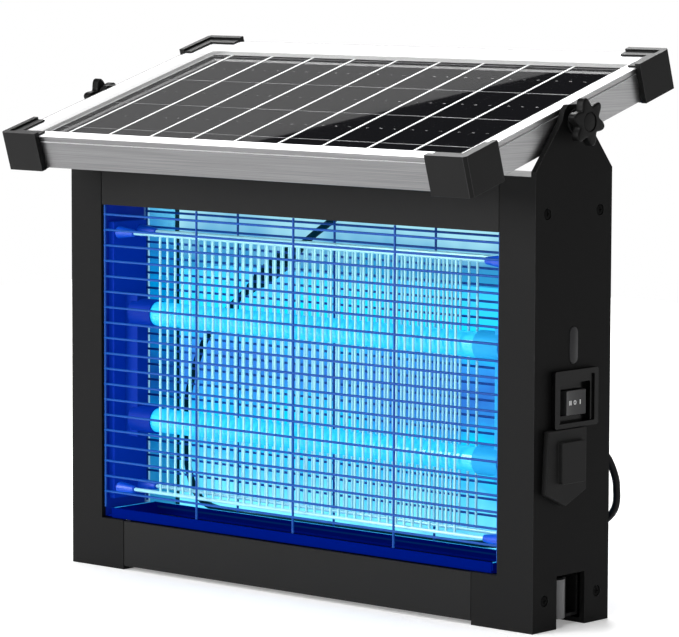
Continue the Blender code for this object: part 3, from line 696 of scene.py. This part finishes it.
def panel():
    """Rails, corner caps, junction box, studs and washers, with their edges rounded."""
    panel_turn = Matrix.Rotation(TILT, 3, "X")
    up = panel_turn @ Vector((0, 0, 1))
    for place, material, inward in (
        ("front", LONG_BRUSHED, (0, 1, 0)),
        ("rear", LONG_BRUSHED, (0, -1, 0)),
        ("left", SIDE_BRUSHED, (1, 0, 0)),
        ("right", SIDE_BRUSHED, (-1, 0, 0)),
    ):
        inner = panel_turn @ Vector(inward)
        rail = softened(f"frame_rail_{place}", material, 0.00012, 1)
        # Top faces take the near-white copy: painted light.
        second_finish(rail, RAIL_TOP_LIT, lambda face: face.normal.dot(up) > 0.6)
        # Inner faces take the white, glowing copy: painted light.
        second_finish(rail, RAIL_INSIDE_GLOW, lambda face, inner=inner: face.normal.dot(inner) > 0.6)
    for place in ("front_left", "front_right", "rear_left", "rear_right"):
        # The corner caps' rounded edges take a painted highlight.
        softened(f"corner_cap_{place}", CAP_BLACK, 0.0004, 3, CAP_EDGE_HIGHLIGHT)
    softened("junction_box", CAP_BLACK, 0.0006)
    softened("junction_lid", CAP_BLACK, 0.0005)
    softened("panel_gland", RUBBER, 0.0003)
    for side in ("left", "right"):
        softened(f"pivot_bolt_{side}", DARK_STEEL, 0.0003)
        softened(f"friction_washer_{side}", RUBBER, 0.0002)
    for node, material in (("panel_glass", PANEL_GLASS), ("back_sheet", BACK_WHITE)):
        NODES[node].data.materials.clear()
        NODES[node].data.materials.append(material)


def flange_shade_lines():
    """A line of painted shade that runs along the top of the frame, just inside its outer edge."""
    far_x, far_y, low, high = 0.1955, 0.1013, 0.00996, 0.01006
    lines = []
    for side in (-1, 1):
        lines.append(slab((-far_x, side * far_y - 0.0004, low), (far_x, side * far_y + 0.0004, high)))
        lines.append(slab((side * far_x - 0.0004, -far_y, low), (side * far_x + 0.0004, far_y, high)))
    made = joined("flange_shade_lines", lines)
    turned_into_panel(made)
    finished(made, "flange_shade_lines", RAIL_SHADE_LINE, body="panel")


def solar_cells():
    """Ten cells on a white sheet, with tinned ribbons and rows of solder pads across them."""
    edges = [-0.1825, -0.164] + [-0.164 + 0.0373 * k for k in range(1, 10)]
    cells = []
    for start, end in zip(edges, edges[1:]):
        cell = slab((start + 0.0009, -0.0882, 0.0043), (end - 0.0009, 0.0882, 0.00455))
        cells.append(cell)
    sheet = joined("cell_sheet_finished", cells)
    turned_into_panel(sheet)
    finished(sheet, "cell_sheet_finished", CELL, node="cell_sheet")

    ribbons = []
    for y in (-0.066, -0.016, 0.034, 0.084):
        ribbons.append(slab((-0.1815, y - 0.0002, 0.0045), (0.1708, y + 0.0002, 0.0047)))
    strips = joined("cell_ribbons", ribbons)
    turned_into_panel(strips)
    finished(strips, "cell_ribbons", RIBBON, body="panel")

    pads = []
    pad = slab((-0.0011, -0.00025, 0.0045), (0.0011, 0.00025, 0.0047))
    for start, end in zip(edges, edges[1:]):
        for y in (-0.041, 0.009, 0.059):
            for share in (0.2, 0.5, 0.8):
                x = start + (end - start) * share
                pads.append(shifted_copy(pad, "pad", (x, y, 0)))
    bpy.data.objects.remove(pad, do_unlink=True)
    spots = joined("solder_pads", pads)
    turned_into_panel(spots)
    finished(spots, "solder_pads", PAD, body="panel")

    gaps = []
    for edge in edges[1:-1]:
        gaps.append(slab((edge - 0.0008, -0.0882, 0.0041), (edge + 0.0008, 0.0882, 0.0048)))
    between = joined("cell_gaps", gaps)
    turned_into_panel(between)
    finished(between, "cell_gaps", BACK_WHITE, body="panel")

    backing = slab((-0.1830, -0.0885, 0.0038), (0.1830, 0.0885, 0.0040))
    turned_into_panel(backing)
    finished(backing, "cell_backing", BACK_WHITE, body="panel")


def star_knob(label, side):
    """Six round lobes on a stepped hub, with a dished face."""
    bpy.ops.mesh.primitive_cylinder_add(
        vertices=144, radius=0.0126, depth=0.0063, location=(0.20865, 0, 0), rotation=(0, math.pi / 2, 0)
    )
    lobes = placed()
    for vertex in lobes.data.vertices:
        turn = math.atan2(vertex.co.y, vertex.co.z)
        radius = 0.0126 + 0.0027 * math.cos(6 * turn)
        vertex.co.y = radius * math.sin(turn)
        vertex.co.z = radius * math.cos(turn)
    bevelled(lobes, 0.0014, 5, 50)
    dish = rod("x", (0, 0), 0.0062, 0.2110, 0.2130, 48)
    cut_away(lobes, dish)
    cap = rod("x", (0, 0), 0.0056, 0.2100, 0.2114, 48)
    bevelled(cap, 0.0004, 3)
    hub = rod("x", (0, 0), 0.0064, 0.2016, 0.2060, 48)
    bevelled(hub, 0.0005, 3)
    knob = joined("knob", [lobes, cap, hub])
    smooth(knob, 40)
    if side < 0:
        mirrored(knob)
    turned_into_panel(knob)
    finished(knob, f"star_knob_{label}_finished", KNOB_BLACK, node=f"star_knob_{label}")


# Cable


def smooth_route(knots, steps):
    """Points on the smooth curve through the knots."""
    knots = [Vector(k) for k in knots]
    padded = [2 * knots[0] - knots[1], *knots, 2 * knots[-1] - knots[-2]]
    route = []
    for a, b, c, d in zip(padded, padded[1:], padded[2:], padded[3:]):
        for k in range(steps):
            t = k / steps
            linear = (c - a) * t
            square = (2 * a - 5 * b + 4 * c - d) * t**2
            cube = (3 * b - a - 3 * c + d) * t**3
            route.append((2 * b + linear + square + cube) / 2)
    return route + [knots[-1]]


def solar_cable():
    """The lead from the panel to the body, with its coupling."""
    route = smooth_route(CABLE_KNOTS, 8)
    curve = bpy.data.curves.new("solar_cable_finished", "CURVE")
    curve.dimensions = "3D"
    curve.bevel_depth = CABLE_RADIUS
    curve.bevel_resolution = 5
    curve.use_fill_caps = True
    spline = curve.splines.new("POLY")
    spline.points.add(len(route) - 1)
    for point, place in zip(spline.points, route):
        point.co = (*place, 1)
    spline.use_smooth = True
    curve.materials.append(LEAD_BLACK)
    made = bpy.data.objects.new("solar_cable_finished", curve)
    bpy.context.scene.collection.objects.link(made)
    only(made)
    bpy.ops.object.convert(target="MESH")
    smooth(made, 50)
    coupling = softened("lead_coupling", LEAD_BLACK, 0.0004)
    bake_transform(made)
    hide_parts("solar_cable")


# Inside


def electronics():
    """Cells and boards in the beam, and the module in the right column."""
    softened("battery_pack", WRAP, 0.0006, 3)
    softened("charge_board", BOARD, 0.0002)
    softened("lamp_driver_board", BOARD, 0.0002)
    softened("hv_module", GLOSS, 0.0008, 3)


# Surroundings


def sky():
    """Pale up to a little over the horizon, dark higher up."""
    bpy.context.scene.view_settings.view_transform = "Standard"
    world = bpy.data.worlds.new("studio")
    bpy.context.scene.world = world
    world.use_nodes = True
    nodes, links = world.node_tree.nodes, world.node_tree.links
    place = nodes.new("ShaderNodeTexCoord")
    height = nodes.new("ShaderNodeSeparateXYZ")
    fade = nodes.new("ShaderNodeValToRGB")
    fade.color_ramp.elements[0].position = 0.15
    fade.color_ramp.elements[0].color = (1.0, 1.0, 1.0, 1)
    fade.color_ramp.elements[1].position = 0.32
    fade.color_ramp.elements[1].color = (0.02, 0.02, 0.02, 1)
    links.new(place.outputs["Generated"], height.inputs["Vector"])
    links.new(height.outputs["Z"], fade.inputs["Fac"])
    links.new(fade.outputs["Color"], nodes["Background"].inputs["Color"])
    nodes["Background"].inputs["Strength"].default_value = 1.0


def pale_floor():
    """A pale floor that gets lighter away from the object, so that it has no edge."""
    bpy.ops.mesh.primitive_plane_add(size=3.4, location=(0, 0, -0.0002))
    floor = bpy.context.active_object
    floor.name = "floor"
    pale = finish("floor_white", (0.85, 0.85, 0.85), 0.6, Emission_Color=(1, 1, 1, 1))
    nodes, links = pale.node_tree.nodes, pale.node_tree.links
    place = nodes.new("ShaderNodeTexCoord")
    away = nodes.new("ShaderNodeVectorMath")
    away.operation = "LENGTH"
    lift = nodes.new("ShaderNodeMapRange")
    lift.inputs["From Min"].default_value = 0.7
    lift.inputs["From Max"].default_value = 1.7
    lift.inputs["To Min"].default_value = 0.25
    lift.inputs["To Max"].default_value = 0.80
    links.new(place.outputs["Object"], away.inputs[0])
    links.new(away.outputs["Value"], lift.inputs["Value"])
    links.new(lift.outputs["Result"], nodes["Principled BSDF"].inputs["Emission Strength"])
    floor.data.materials.append(pale)


def lights():
    """Three soft lights aimed at the box, and a dim card that the panel mirrors."""
    aim = Vector((0, 0, 0.2))
    for name, place, size, power in (
        ("top_light", (0.1, -0.4, 2.2), 1.6, 52),
        ("front_light", (-0.9, -2.2, 1.0), 1.2, 60),
        ("rim_light", (-2.2, 2.3, 3.3), 1.6, 120),
    ):
        light = area_light(name, size, size, power)
        light.location = place
        light.rotation_euler = (aim - Vector(place)).to_track_quat("-Z", "Y").to_euler()

    along = Vector((0.7249, 0.6688, 0.1652))
    towards = Vector((-0.6587, 0.6027, 0.4504))
    down = towards.cross(along)
    middle = Vector((-1.529, 1.230, 1.305)) + along * 0.25 + down * 0.65
    card = area_light("panel_card", 3.2, 1.3, 5)
    turn = Matrix((along, down, towards)).transposed().to_4x4()
    card.matrix_world = Matrix.Translation(middle) @ turn


def area_light(name, width, height, power):
    """A rectangular light that the camera doesn't see."""
    data = bpy.data.lights.new(name, "AREA")
    data.shape = "RECTANGLE"
    data.size = width
    data.size_y = height
    data.energy = power
    light = bpy.data.objects.new(name, data)
    light.visible_camera = False
    bpy.context.scene.collection.objects.link(light)
    return light


def lamp_glow():
    """The blue haze of light between the columns, behind the rear grille."""
    bpy.ops.mesh.primitive_plane_add(size=1, location=(0, 0.0078, 0.1400), rotation=(math.pi / 2, 0, 0))
    glow = bpy.context.active_object
    glow.scale = (0.342, 0.208, 1)
    glow = placed()
    glow.name = "lamp_glow"
    material = bpy.data.materials.new("lamp_glow")
    material.use_nodes = True
    nodes, links = material.node_tree.nodes, material.node_tree.links
    nodes.clear()
    out = nodes.new("ShaderNodeOutputMaterial")
    both = nodes.new("ShaderNodeAddShader")
    through = nodes.new("ShaderNodeBsdfTransparent")
    shine = nodes.new("ShaderNodeEmission")
    shine.inputs["Color"].default_value = (0.0, 0.45, 0.9, 1)
    shine.inputs["Strength"].default_value = 0.03
    place = nodes.new("ShaderNodeTexCoord")
    height = nodes.new("ShaderNodeSeparateXYZ")
    reach = nodes.new("ShaderNodeMapRange")
    reach.inputs["From Min"].default_value = 0.036
    reach.inputs["From Max"].default_value = 0.244
    patches = nodes.new("ShaderNodeTexNoise")
    patches.inputs["Scale"].default_value = 22
    patches.inputs["Detail"].default_value = 2
    drift = nodes.new("ShaderNodeMapRange")
    drift.inputs["To Min"].default_value = -0.16
    drift.inputs["To Max"].default_value = 0.16
    total = nodes.new("ShaderNodeMath")
    tones = nodes.new("ShaderNodeValToRGB")
    stops = tones.color_ramp.elements
    stops[0].position = 0.0
    stops[0].color = (0.16, 0.68, 0.88, 1)
    stops[1].position = 1.0
    stops[1].color = (0.40, 0.80, 0.92, 1)
    for spot, colour in (
        (0.18, (0.03, 0.34, 0.66, 1)),
        (0.31, (0.0, 0.46, 0.80, 1)),
        (0.41, (0.02, 0.20, 0.55, 1)),
        (0.49, (0.02, 0.11, 0.42, 1)),
        (0.57, (0.02, 0.20, 0.55, 1)),
        (0.66, (0.0, 0.43, 0.78, 1)),
        (0.84, (0.04, 0.30, 0.62, 1)),
    ):
        stops.new(spot).color = colour
    links.new(place.outputs["Object"], height.inputs["Vector"])
    links.new(place.outputs["Object"], patches.inputs["Vector"])
    links.new(patches.outputs["Fac"], drift.inputs["Value"])
    links.new(height.outputs["Z"], reach.inputs["Value"])
    links.new(reach.outputs["Result"], total.inputs[0])
    links.new(drift.outputs["Result"], total.inputs[1])
    links.new(total.outputs["Value"], tones.inputs["Fac"])
    links.new(tones.outputs["Color"], through.inputs["Color"])
    links.new(through.outputs["BSDF"], both.inputs[0])
    links.new(shine.outputs["Emission"], both.inputs[1])
    links.new(both.outputs["Shader"], out.inputs["Surface"])
    glow.data.materials.append(material)


place_camera()
solar_cable()
housing()
cap_screws()
wire_grille("front_grille", FRONT_GRILLE_Y)
wire_grille("rear_grille", REAR_GRILLE_Y)
hv_grid("front_hv_grid", CHAMBER_MIDDLE - 0.0105)
hv_grid("rear_hv_grid", CHAMBER_MIDDLE + 0.0105)
for lamp_label, lamp_height in LAMP_HEIGHTS.items():
    lamp(lamp_label, lamp_height)
controls()
status_lens()
rocker_marks()
panel()
flange_shade_lines()
solar_cells()
for knob_label, knob_side in (("left", -1), ("right", 1)):
    star_knob(knob_label, knob_side)
electronics()
sky()
pale_floor()
lights()
lamp_glow()
